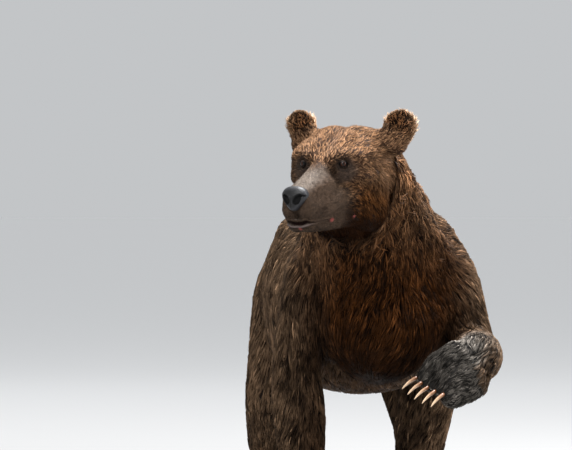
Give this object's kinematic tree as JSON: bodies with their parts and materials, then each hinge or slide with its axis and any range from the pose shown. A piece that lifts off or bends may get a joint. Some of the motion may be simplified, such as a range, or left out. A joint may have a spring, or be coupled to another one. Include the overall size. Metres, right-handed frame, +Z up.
{
  "type": "grizzly bear model",
  "caption": "Life-size still model of a wading grizzly bear, head turned to its right, left forepaw raised, standing on its other feet.",
  "frame": {"origin": "the middle of the bottom of the bounding box, on the floor under the belly", "axes": "+Z up; the bear faces -Y, so +Y runs from its head to its tail; +X is the bear's own left"},
  "size_m": [0.858, 2.1932, 1.5479],
  "materials": {
    "coat": "wet brown fur in clumped locks",
    "nose_leather": "moist dark grey leather",
    "eye": "wet and glossy, dark brown",
    "claw_horn": "smooth horn, pale orange-brown"
  },
  "bodies": {
    "root": {"trunk": "coat", "neck": "coat", "head": "coat", "left_ear": "coat", "right_ear": "coat", "tail": "coat", "left_upper_arm": "coat", "left_forearm": "coat", "left_forepaw": "coat", "left_thigh": "coat", "left_shank": "coat", "left_hindpaw": "coat", "right_upper_arm": "coat", "right_forearm": "coat", "right_forepaw": "coat", "right_thigh": "coat", "right_shank": "coat", "right_hindpaw": "coat", "nose": "nose_leather", "left_eye": "eye", "right_eye": "eye", "left_forepaw_claw_1": "claw_horn", "left_forepaw_claw_2": "claw_horn", "left_forepaw_claw_3": "claw_horn", "left_forepaw_claw_4": "claw_horn", "left_forepaw_claw_5": "claw_horn", "right_forepaw_claw_1": "claw_horn", "right_forepaw_claw_2": "claw_horn", "right_forepaw_claw_3": "claw_horn", "right_forepaw_claw_4": "claw_horn", "right_forepaw_claw_5": "claw_horn", "left_hindpaw_claw_1": "claw_horn", "left_hindpaw_claw_2": "claw_horn", "left_hindpaw_claw_3": "claw_horn", "left_hindpaw_claw_4": "claw_horn", "left_hindpaw_claw_5": "claw_horn", "right_hindpaw_claw_1": "claw_horn", "right_hindpaw_claw_2": "claw_horn", "right_hindpaw_claw_3": "claw_horn", "right_hindpaw_claw_4": "claw_horn", "right_hindpaw_claw_5": "claw_horn"}
  },
  "joints": []
}
